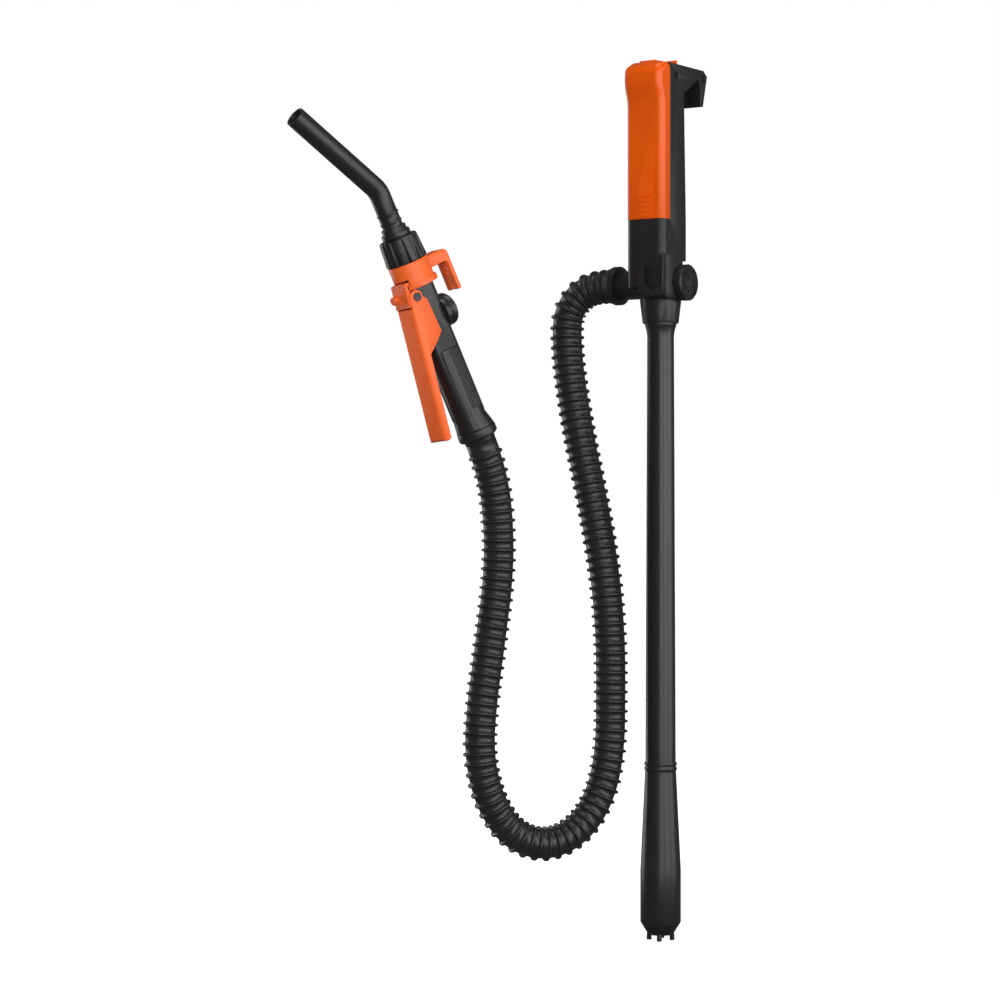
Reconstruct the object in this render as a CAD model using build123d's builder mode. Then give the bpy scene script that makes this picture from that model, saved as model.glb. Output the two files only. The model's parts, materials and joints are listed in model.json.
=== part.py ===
from build123d import *
import math
import os

# Battery-powered fuel transfer pump: a pump head with a battery bay, a suction
# tube with a submersible motor pump at its foot, a corrugated hose and an
# automatic nozzle.  Millimetres.  +Z is up, the front of the head faces -Y, the
# power knob is on +X and the hose leaves on -X.  The origin is on the suction
# tube's axis, at the lower face of the tapered tank collar.

# ---- driving dimensions: fits ------------------------------------------------
wall = 2.0
fit_gap = 0.05          # radial gap between pieces that are pushed together
slide_gap = 0.3         # gap between pieces that slide or swing past each other
shaft_gap = 0.06        # radial running gap of pins and shafts

# ---- driving dimensions: suction tube, collar and pump foot --------------------
collar_height = 23.5
collar_top_radius = 20.8
collar_low_radius = 18.0
tube_top_radius = 15.9
tube_waist_radius = 13.4
tube_foot_radius = 15.2
tube_bore_radius = 11.4
tube_flare_height = 14.0
tube_length = 438.0     # collar's lower face to the joint with the pump barrel
tube_into_head = 6.5
spigot_length = 16.0
barrel_radius = 20.3
barrel_length = 160.0
barrel_straight = 51.5
barrel_wall = 2.0
bead_height = 2.0
bead_step = 0.95
bead_pitch = 4.8
foot_height = 12.5
foot_face_radius = 12.5
leg_height = 5.5
leg_radius = 2.5
leg_circle = 11.5
legs = 4
capsule_radius = 15.0
capsule_length = 74.0
motor_radius = 13.4
motor_length = 38.0
shaft_radius = 1.15
impeller_radius = 14.6
impeller_height = 6.0
vanes = 6

# ---- driving dimensions: head ------------------------------------------------
head_half_width = 21.5
head_front = 32.8       # distance of the front face from the tube's axis
head_back = 19.1
spine_top_back = 14.6
base_radius = 20.6      # round column of the base, about the tube's axis
skirt_bottom = 34.5     # lower edge of the front face, left of the cradle
front_corner = 8.0
back_corner = 8.0
base_top = 62.5
cover_bottom = 101.5
cover_split = 17.5      # the cover meets the spine this far in front of the axis
head_top = 257.0
crown_radius = 10.0     # rounding of the cover's two upper edges at its front
crown_tilt = 26.0       # degrees by which that rounding rises toward the back
bay_floor = 102.5
cell_radius = 17.1
cell_length = 59.5
cell_nub_radius = 4.75
cell_nub_height = 1.5
cell_gap = 0.2
cells = 2
spring_height = 8.5
spring_wire = 0.5

# ---- driving dimensions: rear hanger ------------------------------------------
hanger_lip_front = 42.4
hanger_lip_back = 55.8
hanger_lip_foot = 47.5
hanger_lip_bottom = 220.5
hanger_root = 231.0
hanger_arch = 246.0

# ---- driving dimensions: outlet, knob and cradle --------------------------------
port_height = 39.6      # height of the outlet's and the knob's shared axis
port_radius = 14.5
port_reach = 46.0
barb_radius = 10.5
barb_length = 20.0
barb_bore = 8.0
cuff_radius = 19.5
cuff_flange = 6.5
cuff_length = 12.0
pad_face = 25.5
switch_boss_radius = 14.5
knob_radius = 18.0
knob_thickness = 7.5
knob_shaft_radius = 3.0
cradle_radius = 10.25
cradle_centre = 14.0
cradle_depth = 7.2      # the cradle stands out this far from the front face
cradle_left_wall = 7.2
cradle_floor_height = 30.6
cradle_bottom = 24.8
cradle_arm_top = 54.7
cradle_peg_radius = 1.5
cradle_peg_length = 5.0

# ---- driving dimensions: hose ---------------------------------------------------
hose_radius = 17.0
hose_bore_radius = 12.0

# The hose's route, from the cuff at the outlet to the cuff of the nozzle.
hose_route = [
    (-58, 0, 39.6),
    (-77, 0, 39.6),
    (-92, -2, 33),
    (-102.5, -4, 21),
    (-107.5, -6, 5.5),
    (-105, -8, -30),
    (-98, -9, -72),
    (-86, -12, -122),
    (-70, -14, -181),
    (-53, -19, -252),
    (-45, -22, -317),
    (-43, -25, -377),
    (-42, -28, -424),
    (-46, -37, -468),
    (-58, -56, -503),
    (-78, -85, -520),
    (-101, -114, -509),
    (-116, -133, -474),
    (-122, -143, -429),
    (-122, -139, -381),
    (-120, -127, -319),
    (-116, -116, -245),
    (-117, -118, -180),
    (-122, -127, -137),
    (-126, -135, -118),
]

# ---- driving dimensions: nozzle, measured along and across its own axis -------------
# In the nozzle's frame X points at the lever, Y across it and Z at the spout.
nozzle = Plane(origin=hose_route[-1], x_dir=(-0.261, -0.874, -0.410), z_dir=(-4, -8, 19))
tail_length = 4.0
ring_radius = 19.8
ring_end = 14.0
grip_radius = 16.5
grip_offset = 1.5
grip_end = 98.0
flare_end = 28.0
chest_front = 17.5
chest_back = 14.5
chest_half_width = 11.2
chest_corner = 6.0
chest_end = 165.4
neck_radius = 13.0
neck_end = 205.5
passage_width = 16.0
passage_depth = 8.0
passage_offset = 6.0
collar_grip_radius = 20.0
collar_flange_radius = 22.0
collar_flange = 5.0
collar_start = 165.8
collar_end = 190.6
nut_start = 191.0
nut_end = 216.0
nut_low_radius = 20.8
nut_top_radius = 19.2
nut_grooves = 12
spout_radius = 10.2
spout_bore = 8.4
spout_base_radius = 12.4
spout_flange_radius = 14.4
spout_bend_at = 265.0
spout_reach = 113.0
spout_angle = 30.5
spout_bend_radius = 22.0
valve_at = 132.0
cap_radius = 16.4
cap_face = 24.0
cap_seat = 16.5
diaphragm_thickness = 0.9
valve_room_radius = 9.0
stem_radius = 2.0
stem_end = 25.6
poppet_radius = 7.6
lever_pivot_across = 15.3
lever_pivot_along = 158.0
lever_half_width = 14.0
lever_wall = 2.2
lever_low = 19.0
lever_end_radius = 7.0
lever_end_depth = 44.0  # the wall across the lever's lower end starts here
lever_face_across = 25.3   # height of the lever's outer face at lever_face_along
lever_face_along = 150.0
lever_slope = 0.18
pin_radius = 1.6
latch_pivot_across = 18.8
latch_pivot_along = 168.5
latch_half_width = 11.3
latch_face = 26.0       # outer face at the lower end; it slopes in toward the top
latch_top_face = 22.0
latch_back = 15.9
latch_low = 150.8
latch_high = 174.0
hook_front = 39.2
hook_back = 43.3
hook_arm_low = 176.0
hook_arm_top = 188.0
hook_half_width = 8.8
hook_slot = 3.0
hook_tip = 145.0

os.makedirs("parts", exist_ok=True)


def save(piece, name):
    """Label a finished piece and write it as one STEP file."""
    piece.label = name
    export_step(piece, f"parts/{name}.step")


def turned(plane, stations, bore=0.0):
    """A body of revolution about the plane's Z, from (height, radius) stations."""
    side = Plane(plane.origin, x_dir=plane.x_dir, z_dir=-plane.y_dir)
    outline = [(radius, height) for height, radius in stations]
    with BuildPart() as body:
        with BuildSketch(side):
            with BuildLine():
                Polyline([(0, stations[0][0])] + outline + [(0, stations[-1][0])], close=True)
            make_face()
        revolve(axis=Axis(plane.origin, plane.z_dir))
        if bore > 0:
            with BuildSketch(plane.offset(stations[0][0])):
                Circle(bore)
            extrude(amount=stations[-1][0] - stations[0][0], mode=Mode.SUBTRACT)
    return body.part


def nozzle_side(across=0.0):
    """Plane of the nozzle's own side view: x toward the lever, y along its axis."""
    side = Plane(nozzle.origin, x_dir=nozzle.x_dir, z_dir=-nozzle.y_dir)
    return side.offset(across)


# =================================================================================
# Suction side: collar, tube, barrel, foot
# =================================================================================
collar = turned(
    Plane.XY,
    [(0, collar_low_radius), (collar_height, collar_top_radius)],
    bore=tube_top_radius + fit_gap,
)
save(collar, "tank_collar")

tube_top = collar_height + tube_into_head
with BuildPart() as suction_tube:
    with BuildSketch(Plane.XZ):
        with BuildLine():
            Polyline(
                (tube_bore_radius, -tube_length - spigot_length),
                (tube_waist_radius, -tube_length - spigot_length),
                (tube_waist_radius, -tube_length),
                (tube_foot_radius, -tube_length),
                (tube_waist_radius, -tube_flare_height),
            )
            RadiusArc(
                (tube_waist_radius, -tube_flare_height),
                (tube_top_radius, -1.5),
                40.0,
            )
            Polyline(
                (tube_top_radius, -1.5),
                (tube_top_radius, tube_top),
                (tube_bore_radius, tube_top),
                (tube_bore_radius, -tube_length - spigot_length),
            )
        make_face()
    revolve(axis=Axis.Z)
save(suction_tube.part, "suction_tube")

barrel_top = -tube_length
barrel_bottom = barrel_top - barrel_length
joint_radius = tube_foot_radius + 0.4
cone_top = barrel_top - 2 * bead_pitch - 1.0
cone_bottom = barrel_bottom + barrel_straight
with BuildPart() as pump_barrel:
    with BuildSketch(Plane.XZ):
        with BuildLine():
            Polyline(
                (0, barrel_top),
                (joint_radius, barrel_top),
                (joint_radius, cone_top),
                (barrel_radius, cone_bottom),
                (barrel_radius, barrel_bottom),
                (0, barrel_bottom),
                close=True,
            )
        make_face()
        for bead in range(2):
            with Locations((0, barrel_top - 2.0 - bead * bead_pitch)):
                Rectangle(
                    joint_radius + bead_step,
                    bead_height,
                    align=(Align.MIN, Align.CENTER),
                )
    revolve(axis=Axis.Z)
    with BuildSketch(Plane.XZ):
        with BuildLine():
            Polyline(
                (0, barrel_top),
                (tube_waist_radius + fit_gap, barrel_top),
                (tube_waist_radius + fit_gap, barrel_top - spigot_length),
                (tube_bore_radius, barrel_top - spigot_length),
                (tube_bore_radius, barrel_top - spigot_length - 6),
                (barrel_radius - barrel_wall, cone_bottom),
                (barrel_radius - barrel_wall, barrel_bottom),
                (0, barrel_bottom),
                close=True,
            )
        make_face()
    revolve(axis=Axis.Z, mode=Mode.SUBTRACT)
save(pump_barrel.part, "pump_barrel")

foot_spigot = 6.0
foot_bottom = barrel_bottom - foot_height
inlet_slots = 12
with BuildPart() as inlet_foot:
    with BuildSketch(Plane.XZ):
        with BuildLine():
            Polyline(
                (0, barrel_bottom),
                (barrel_radius, barrel_bottom),
                (foot_face_radius, foot_bottom),
                (0, foot_bottom),
                close=True,
            )
        make_face()
    revolve(axis=Axis.Z)
    with BuildSketch(Plane.XY.offset(barrel_bottom)):
        Circle(barrel_radius - barrel_wall - fit_gap)
    extrude(amount=foot_spigot)
    with BuildSketch(Plane.XZ):
        with BuildLine():
            Polyline(
                (0, barrel_bottom + foot_spigot),
                (impeller_radius + 1.5, barrel_bottom + foot_spigot),
                (impeller_radius + 1.5, barrel_bottom),
                (foot_face_radius - wall, foot_bottom + wall),
                (0, foot_bottom + wall),
                close=True,
            )
        make_face()
    revolve(axis=Axis.Z, mode=Mode.SUBTRACT)
    with BuildSketch(Plane.XY.offset(foot_bottom - 1)):
        with PolarLocations(leg_circle - 5.0, inlet_slots):
            SlotOverall(5.0, 1.8)
    extrude(amount=wall + 1.5, mode=Mode.SUBTRACT)
    with BuildSketch(Plane.XY.offset(foot_bottom - leg_height)):
        with PolarLocations(leg_circle, legs, start_angle=24):
            Circle(leg_radius)
    extrude(amount=leg_height + 1.0)
save(inlet_foot.part, "inlet_foot")

screen_height = foot_bottom + wall
with BuildPart() as inlet_screen:
    with BuildSketch(Plane.XY.offset(screen_height)):
        Circle(foot_face_radius - wall - fit_gap)
        with GridLocations(2.2, 2.2, 7, 7):
            Rectangle(1.3, 1.3, mode=Mode.SUBTRACT)
    extrude(amount=0.8)
save(inlet_screen.part, "inlet_screen")

# ---- submersible motor in its sealed capsule, shaft, seal and impeller ------------
impeller_bottom = barrel_bottom + 1.5
impeller_top = impeller_bottom + impeller_height
capsule_bottom = impeller_top + 4.0
capsule_top = capsule_bottom + capsule_length
wire_radius = 1.1
wire_pitch = 5.0
seal_radius = 4.0
seal_height = 3.0
with BuildPart() as motor_capsule:
    with BuildSketch(Plane.XY.offset(capsule_bottom)):
        Circle(capsule_radius)
    extrude(amount=capsule_length)
    fillet(motor_capsule.faces().sort_by(Axis.Z)[-1].edges(), 5.0)
    with BuildSketch(Plane.XY.offset(capsule_bottom + 4)):
        with PolarLocations(capsule_radius - 1, 3):
            Rectangle(
                barrel_radius - barrel_wall - capsule_radius + 1 - fit_gap,
                2.0,
                align=(Align.MIN, Align.CENTER),
            )
    extrude(amount=30.0)
    with BuildSketch(Plane.XY.offset(capsule_bottom + seal_height)):
        Circle(motor_radius + fit_gap)
    extrude(amount=capsule_length - seal_height - 6.0, mode=Mode.SUBTRACT)
    with BuildSketch(Plane.XY.offset(capsule_bottom)):
        Circle(seal_radius + fit_gap)
    extrude(amount=seal_height, mode=Mode.SUBTRACT)
    with BuildSketch(Plane.XY.offset(capsule_top - 6.5)):
        with GridLocations(wire_pitch, 1, 2, 1):
            Circle(wire_radius + fit_gap)
    extrude(amount=7.0, mode=Mode.SUBTRACT)
save(motor_capsule.part, "motor_capsule")

motor_bottom = capsule_bottom + seal_height
motor_top = motor_bottom + motor_length
motor = turned(
    Plane.XY,
    [(motor_bottom, motor_radius), (motor_top, motor_radius)],
    bore=shaft_radius + shaft_gap,
)
save(motor, "motor")

shaft_seal = turned(
    Plane.XY,
    [(capsule_bottom, seal_radius), (motor_bottom, seal_radius)],
    bore=shaft_radius + shaft_gap,
)
save(shaft_seal, "shaft_seal")

motor_shaft = turned(
    Plane.XY,
    [(impeller_bottom, shaft_radius), (motor_top - 6.0, shaft_radius)],
)
save(motor_shaft, "motor_shaft")

with BuildPart() as impeller:
    with BuildSketch(Plane.XY.offset(impeller_bottom)):
        Circle(3.6)
    extrude(amount=impeller_height)
    with BuildSketch(Plane.XY.offset(impeller_top - 1.4)):
        Circle(impeller_radius)
    extrude(amount=1.4)
    with BuildSketch(Plane.XY.offset(impeller_bottom)):
        with PolarLocations(0, vanes):
            with Locations((impeller_radius / 2 + 1.0, 0)):
                Rectangle(impeller_radius - 2.4, 1.4, rotation=14)
    extrude(amount=impeller_height)
    with BuildSketch(Plane.XY.offset(impeller_bottom)):
        Circle(shaft_radius)
    extrude(amount=impeller_height, mode=Mode.SUBTRACT)
save(impeller.part, "impeller")

with BuildPart() as wiring:
    with BuildSketch(Plane.XY.offset(motor_top)):
        with GridLocations(wire_pitch, 1, 2, 1):
            Circle(wire_radius)
    extrude(amount=cover_bottom - 8.0 - motor_top)
save(wiring.part, "wiring")

# =================================================================================
# Head: two moulded halves, split on the plane X = 0
# =================================================================================
cell_centre_y = -(head_front - wall - cell_radius - 0.8)
bay_back = 12.6
cell_stack = cells * (cell_length + cell_nub_height + cell_gap)
bay_roof = bay_floor + spring_height + cell_stack + 4.0
inner_half_width = head_half_width - wall
screw_radius = 1.5
screw_head_radius = 3.0
screw_head_height = 2.4
screw_sites = [
    # (y, z, x of the head's seat, length of the shank)
    (-cover_split + 12.2, head_top - 11.5, head_half_width - 3.0, 28.0),
    (hanger_lip_back - 7.5, head_top - 8.5, head_half_width - 3.0, 28.0),
    (-head_front - 0.4 * cradle_depth, cradle_bottom + 3.4, pad_face - 2.6, 7.0),
]


cradle_left = cradle_centre - cradle_radius - cradle_left_wall
cradle_top = base_top + 4.0
cradle_pegs = [(1.9, 50.0), (1.9, 38.0), (cradle_centre - 5.0, cradle_bottom + 2.6)]

with BuildPart() as housing:
    # round base column, and the block in front of it that carries the cradle
    with BuildSketch(Plane.XY.offset(collar_height)):
        Circle(base_radius)
        with Locations((cradle_left, -head_front)):
            Rectangle(head_half_width - cradle_left, head_front, align=(Align.MIN, Align.MIN))
    extrude(amount=base_top - collar_height)
    # skirt: the front face and the left side, ending higher than the base
    with BuildSketch(Plane.XY.offset(skirt_bottom)) as skirt_plan:
        with Locations((0, -head_front / 2)):
            Rectangle(2 * head_half_width, head_front)
        fillet(skirt_plan.vertices().sort_by(Axis.Y)[:2].sort_by(Axis.X)[0], front_corner)
    extrude(amount=base_top - skirt_bottom)
    # lower part of the head, below the battery cover
    with BuildSketch(Plane.XY.offset(base_top)) as neck_plan:
        with Locations((0, (head_back - head_front) / 2)):
            Rectangle(2 * head_half_width, head_front + head_back)
        fillet(neck_plan.vertices().group_by(Axis.Y)[0], front_corner)
        fillet(neck_plan.vertices().group_by(Axis.Y)[-1], back_corner)
    extrude(amount=cover_bottom - base_top)
    # spine behind the cover, tapering toward the top
    with BuildSketch(Plane.XY.offset(cover_bottom)) as spine_low:
        with Locations((0, (head_back - cover_split) / 2)):
            Rectangle(2 * head_half_width, head_back + cover_split)
        fillet(spine_low.vertices().group_by(Axis.Y)[-1], back_corner)
    with BuildSketch(Plane.XY.offset(head_top)) as spine_high:
        with Locations((0, (spine_top_back - cover_split) / 2)):
            Rectangle(2 * head_half_width, spine_top_back + cover_split)
        fillet(spine_high.vertices().group_by(Axis.Y)[-1], back_corner)
    loft()
    # rear hanger
    with BuildSketch(Plane.YZ):
        with BuildLine():
            Polyline(
                (0, head_top),
                (hanger_lip_back - 7.3, head_top),
                (hanger_lip_back, head_top - 5.2),
                (hanger_lip_foot, hanger_lip_bottom),
                (hanger_lip_front, hanger_lip_bottom),
                (hanger_lip_front, hanger_arch - 6),
            )
            RadiusArc(
                (hanger_lip_front, hanger_arch - 6),
                (hanger_lip_front - 6, hanger_arch),
                -6,
            )
            Polyline(
                (hanger_lip_front - 6, hanger_arch),
                (spine_top_back + 6, hanger_root + 5),
                (spine_top_back - 2, hanger_root),
                (0, hanger_root),
                (0, head_top),
            )
        make_face()
    extrude(amount=head_half_width, both=True)
    # side pad that carries the knob
    with BuildSketch(Plane.YZ.offset(head_half_width - 6)):
        with Locations((-head_front / 2, (collar_height + cradle_top) / 2)):
            RectangleRounded(head_front, cradle_top - collar_height, 2.0)
        with Locations((0, port_height)):
            Circle(switch_boss_radius)
    extrude(amount=pad_face - head_half_width + 6)
    # battery bay, open to the front
    with BuildSketch(Plane.XY.offset(bay_floor)):
        with Locations((0, (bay_back - cover_split) / 2)):
            Rectangle(2 * inner_half_width, bay_back + cover_split)
    extrude(amount=bay_roof - bay_floor, mode=Mode.SUBTRACT)
    # space above the bay roof, under the top wall
    with BuildSketch(Plane.XY.offset(bay_roof + wall)):
        with Locations((0, (spine_top_back - wall) / 2)):
            Rectangle(2 * inner_half_width, spine_top_back - wall)
    extrude(amount=head_top - wall - bay_roof - wall, mode=Mode.SUBTRACT)
    # switch room between the base and the bay
    with BuildSketch(Plane.XY.offset(base_top + wall)) as room_plan:
        with Locations((0, (head_back - head_front) / 2)):
            Rectangle(2 * inner_half_width, head_front + head_back - 2 * wall)
        fillet(room_plan.vertices(), back_corner - wall)
    extrude(amount=bay_floor - wall - base_top - wall, mode=Mode.SUBTRACT)
    # manifold room around the top of the tube
    with BuildSketch(Plane.XY.offset(collar_height + wall)):
        Circle(base_radius - wall)
    extrude(amount=base_top - wall - collar_height, mode=Mode.SUBTRACT)
    # hollow of the skirt, open below
    with BuildSketch(Plane.XY.offset(skirt_bottom)):
        with Locations((-inner_half_width, wall - head_front)):
            Rectangle(
                inner_half_width + cradle_left,
                head_front - 2 * wall,
                align=(Align.MIN, Align.MIN),
            )
        Circle(base_radius, mode=Mode.SUBTRACT)
    extrude(amount=base_top - wall - skirt_bottom, mode=Mode.SUBTRACT)
    # passage of the tube through the bottom and of the wires upward
    with BuildSketch(Plane.XY.offset(collar_height)):
        Circle(tube_top_radius + fit_gap)
    extrude(amount=wall, mode=Mode.SUBTRACT)
    with BuildSketch(Plane.XY.offset(base_top - 1)):
        SlotOverall(wire_pitch + 6, 6)
    extrude(amount=wall + 2, mode=Mode.SUBTRACT)
    # outlet on -X, knob shaft and switch pocket on +X
    with BuildSketch(Plane.YZ.offset(-head_half_width - 1)):
        with Locations((0, port_height)):
            Circle(port_radius + fit_gap)
    extrude(amount=head_half_width - 8, mode=Mode.SUBTRACT)
    with BuildSketch(Plane.YZ.offset(inner_half_width - 6)):
        with Locations((0, port_height)):
            Circle(12.0)
    extrude(amount=pad_face - wall - inner_half_width + 6, mode=Mode.SUBTRACT)
    with BuildSketch(Plane.YZ.offset(pad_face - wall - 1)):
        with Locations((0, port_height)):
            Circle(knob_shaft_radius + 0.5)
    extrude(amount=wall + 2, mode=Mode.SUBTRACT)
    # bosses and holes of the screws
    for y, z, seat, length in screw_sites[:2]:
        with BuildSketch(Plane.YZ):
            with Locations((y, z)):
                Circle(3.4)
        extrude(amount=inner_half_width, both=True)
    for y, z, seat, length in screw_sites:
        with BuildSketch(Plane.YZ.offset(seat)):
            with Locations((y, z)):
                Circle(screw_head_radius + 0.25)
        extrude(amount=8, mode=Mode.SUBTRACT)
        with BuildSketch(Plane.YZ.offset(seat)):
            with Locations((y, z)):
                Circle(screw_radius + fit_gap)
        extrude(amount=-length, mode=Mode.SUBTRACT)
    # holes for the cradle's pegs
    with BuildSketch(Plane.XZ.offset(head_front)):
        with Locations(*cradle_pegs):
            Circle(cradle_peg_radius + fit_gap)
    extrude(amount=-cradle_peg_length, mode=Mode.SUBTRACT)

housing_right = split(housing.part, bisect_by=Plane.YZ, keep=Keep.TOP)
housing_left = split(housing.part, bisect_by=Plane.YZ, keep=Keep.BOTTOM)
save(housing_right, "housing_right")
save(housing_left, "housing_left")

# ---- screws -------------------------------------------------------------------------
with BuildPart() as housing_screws:
    for y, z, seat, length in screw_sites:
        with BuildSketch(Plane.YZ.offset(seat)):
            with Locations((y, z)):
                Circle(screw_head_radius)
        extrude(amount=screw_head_height)
        with BuildSketch(Plane.YZ.offset(seat)):
            with Locations((y, z)):
                Circle(screw_radius)
        extrude(amount=-length + 0.5)
        with BuildSketch(Plane.YZ.offset(seat + screw_head_height)):
            with Locations((y, z)):
                Rectangle(3.6, 0.7)
                Rectangle(0.7, 3.6)
        extrude(amount=-1.2, mode=Mode.SUBTRACT)
save(housing_screws.part, "housing_screws")

# ---- cradle for the nozzle's spout: a J standing out from the front face -------------
with BuildPart() as nozzle_cradle:
    with BuildSketch(Plane.XZ.offset(head_front)) as cradle_outline:
        with Locations((cradle_left, cradle_bottom)):
            Rectangle(pad_face - cradle_left, cradle_top - cradle_bottom, align=(Align.MIN, Align.MIN))
        fillet(cradle_outline.vertices().group_by(Axis.Y)[0].sort_by(Axis.X)[0], cradle_left_wall + 3.8)
        fillet(cradle_outline.vertices().group_by(Axis.Y)[0].sort_by(Axis.X)[-1], 3.0)
    extrude(amount=cradle_depth)
    with BuildSketch(Plane.XZ.offset(head_front)) as cradle_hollow:
        with Locations((cradle_centre, cradle_floor_height)):
            Rectangle(2 * cradle_radius, 2 * cradle_top, align=(Align.CENTER, Align.MIN))
        fillet(cradle_hollow.vertices().group_by(Axis.Y)[0], cradle_radius - 0.1)
    extrude(amount=cradle_depth, mode=Mode.SUBTRACT)
    with BuildSketch(Plane.XZ.offset(head_front)):
        with Locations((cradle_left - 1, cradle_arm_top)):
            Rectangle(cradle_left_wall + 2, 20, align=(Align.MIN, Align.MIN))
    extrude(amount=cradle_depth, mode=Mode.SUBTRACT)
    arm_end = nozzle_cradle.edges().filter_by(Axis.Y).filter_by(
        lambda edge: abs(edge.center().Z - cradle_arm_top) < 0.1
    )
    fillet(arm_end, 2.5)
    with BuildSketch(Plane.XZ.offset(head_front)):
        with Locations(*cradle_pegs):
            Circle(cradle_peg_radius)
    extrude(amount=-cradle_peg_length + 0.5)
    y, z, seat, length = screw_sites[2]
    with BuildSketch(Plane.YZ.offset(seat)):
        with Locations((y, z)):
            Circle(screw_radius + fit_gap)
    extrude(amount=-length, mode=Mode.SUBTRACT)
    with BuildSketch(Plane.YZ.offset(seat)):
        with Locations((y, z)):
            Circle(screw_head_radius + 0.25)
    extrude(amount=8, mode=Mode.SUBTRACT)
save(nozzle_cradle.part, "nozzle_cradle")

# ---- manifold: socket on the tube's top, closed chamber, barbed outlet ----------------
manifold_radius = tube_top_radius + 2.4
manifold_top = base_top - wall - 1.0
with BuildPart() as outlet_manifold:
    with BuildSketch(Plane.XY.offset(collar_height + wall)):
        Circle(manifold_radius)
    extrude(amount=manifold_top - collar_height - wall)
    with BuildSketch(Plane.YZ.offset(-port_reach)):
        with Locations((0, port_height)):
            Circle(port_radius)
    extrude(amount=port_reach)
    with BuildSketch(Plane.YZ.offset(-port_reach - barb_length)):
        with Locations((0, port_height)):
            Circle(barb_radius)
    extrude(amount=barb_length + 2)
    with BuildSketch(Plane.XY.offset(collar_height + wall)):
        Circle(tube_top_radius + fit_gap)
    extrude(amount=tube_top - collar_height - wall, mode=Mode.SUBTRACT)
    with BuildSketch(Plane.XY.offset(tube_top)):
        Circle(tube_bore_radius + 1.5)
    extrude(amount=manifold_top - tube_top - 3.0, mode=Mode.SUBTRACT)
    with BuildSketch(Plane.YZ.offset(-port_reach - barb_length)):
        with Locations((0, port_height)):
            Circle(barb_bore)
    extrude(amount=port_reach + barb_length, mode=Mode.SUBTRACT)
    with BuildSketch(Plane.XY.offset(manifold_top - 4)):
        with GridLocations(wire_pitch, 1, 2, 1):
            Circle(wire_radius + fit_gap)
    extrude(amount=5, mode=Mode.SUBTRACT)
save(outlet_manifold.part, "outlet_manifold")

# ---- power knob, its shaft and the rotary switch ---------------------------------------
knob_back = pad_face + 0.5
knob_face = knob_back + knob_thickness
switch_back = manifold_radius + 0.4
switch_front = pad_face - wall - 0.2
with BuildPart() as power_knob:
    with BuildSketch(Plane.YZ.offset(knob_back)):
        with Locations((0, port_height)):
            Circle(knob_radius)
    extrude(amount=knob_thickness)
    chamfer(power_knob.faces().sort_by(Axis.X)[-1].edges(), 1.2)
    with BuildSketch(Plane.YZ.offset(knob_face)):
        with Locations((0, port_height)):
            with PolarLocations(knob_radius - 5.5, 24):
                SlotOverall(6.4, 1.2)
    extrude(amount=-0.8, mode=Mode.SUBTRACT)
    with BuildSketch(Plane.YZ.offset(knob_back)):
        with Locations((0, port_height)):
            Circle(knob_shaft_radius)
    extrude(amount=5.0, mode=Mode.SUBTRACT)
save(power_knob.part, "power_knob")

with BuildPart() as knob_shaft:
    with BuildSketch(Plane.YZ.offset(switch_back + 1.0)):
        with Locations((0, port_height)):
            Circle(knob_shaft_radius)
    extrude(amount=knob_back + 5.0 - switch_back - 1.0)
save(knob_shaft.part, "knob_shaft")

with BuildPart() as rotary_switch:
    with BuildSketch(Plane.YZ.offset(switch_back)):
        with Locations((0, port_height)):
            Circle(11.5)
    extrude(amount=switch_front - switch_back)
    with BuildSketch(Plane.YZ.offset(switch_back + 0.9)):
        with Locations((0, port_height)):
            Circle(knob_shaft_radius + shaft_gap)
    extrude(amount=switch_front, mode=Mode.SUBTRACT)
save(rotary_switch.part, "rotary_switch")

with BuildPart() as control_board:
    with BuildSketch(Plane.XZ.offset(-8.0)):
        with Locations((0, (base_top + cover_bottom) / 2)):
            Rectangle(30, 24)
    extrude(amount=1.6)
    with BuildSketch(Plane.XZ.offset(-8.0 + 1.6)):
        with Locations((-8, (base_top + cover_bottom) / 2 - 4), (8, (base_top + cover_bottom) / 2 + 5)):
            Rectangle(8, 6)
    extrude(amount=3.0)
save(control_board.part, "control_board")

# ---- battery cells and contacts -----------------------------------------------------------
cell_base = bay_floor + spring_height
with BuildPart() as battery_cells:
    for number in range(cells):
        foot = cell_base + number * (cell_length + cell_nub_height + cell_gap)
        with BuildSketch(Plane.XY.offset(foot)):
            with Locations((0, cell_centre_y)):
                Circle(cell_radius)
        extrude(amount=cell_length)
        with BuildSketch(Plane.XY.offset(foot + cell_length)):
            with Locations((0, cell_centre_y)):
                Circle(cell_nub_radius)
        extrude(amount=cell_nub_height)
save(battery_cells.part, "battery_cells")

plate_thickness = 0.8
spring_turns = 3
with BuildPart() as contact_spring:
    spring_low = bay_floor + plate_thickness + spring_wire
    spring_rise = spring_height - plate_thickness - 2 * spring_wire - cell_gap
    with BuildLine() as coil:
        Helix(
            pitch=spring_rise / spring_turns,
            height=spring_rise,
            radius=7.0,
            center=(0, cell_centre_y, spring_low),
        )
    with BuildSketch(Plane(coil.line @ 0, z_dir=coil.line % 0)):
        Circle(spring_wire)
    sweep(is_frenet=True)
save(contact_spring.part, "contact_spring")

with BuildPart() as lower_contact:
    with BuildSketch(Plane.XY.offset(bay_floor)):
        with Locations((0, cell_centre_y + 6)):
            RectangleRounded(24, 30, 2)
    extrude(amount=plate_thickness)
save(lower_contact.part, "lower_contact")

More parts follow.
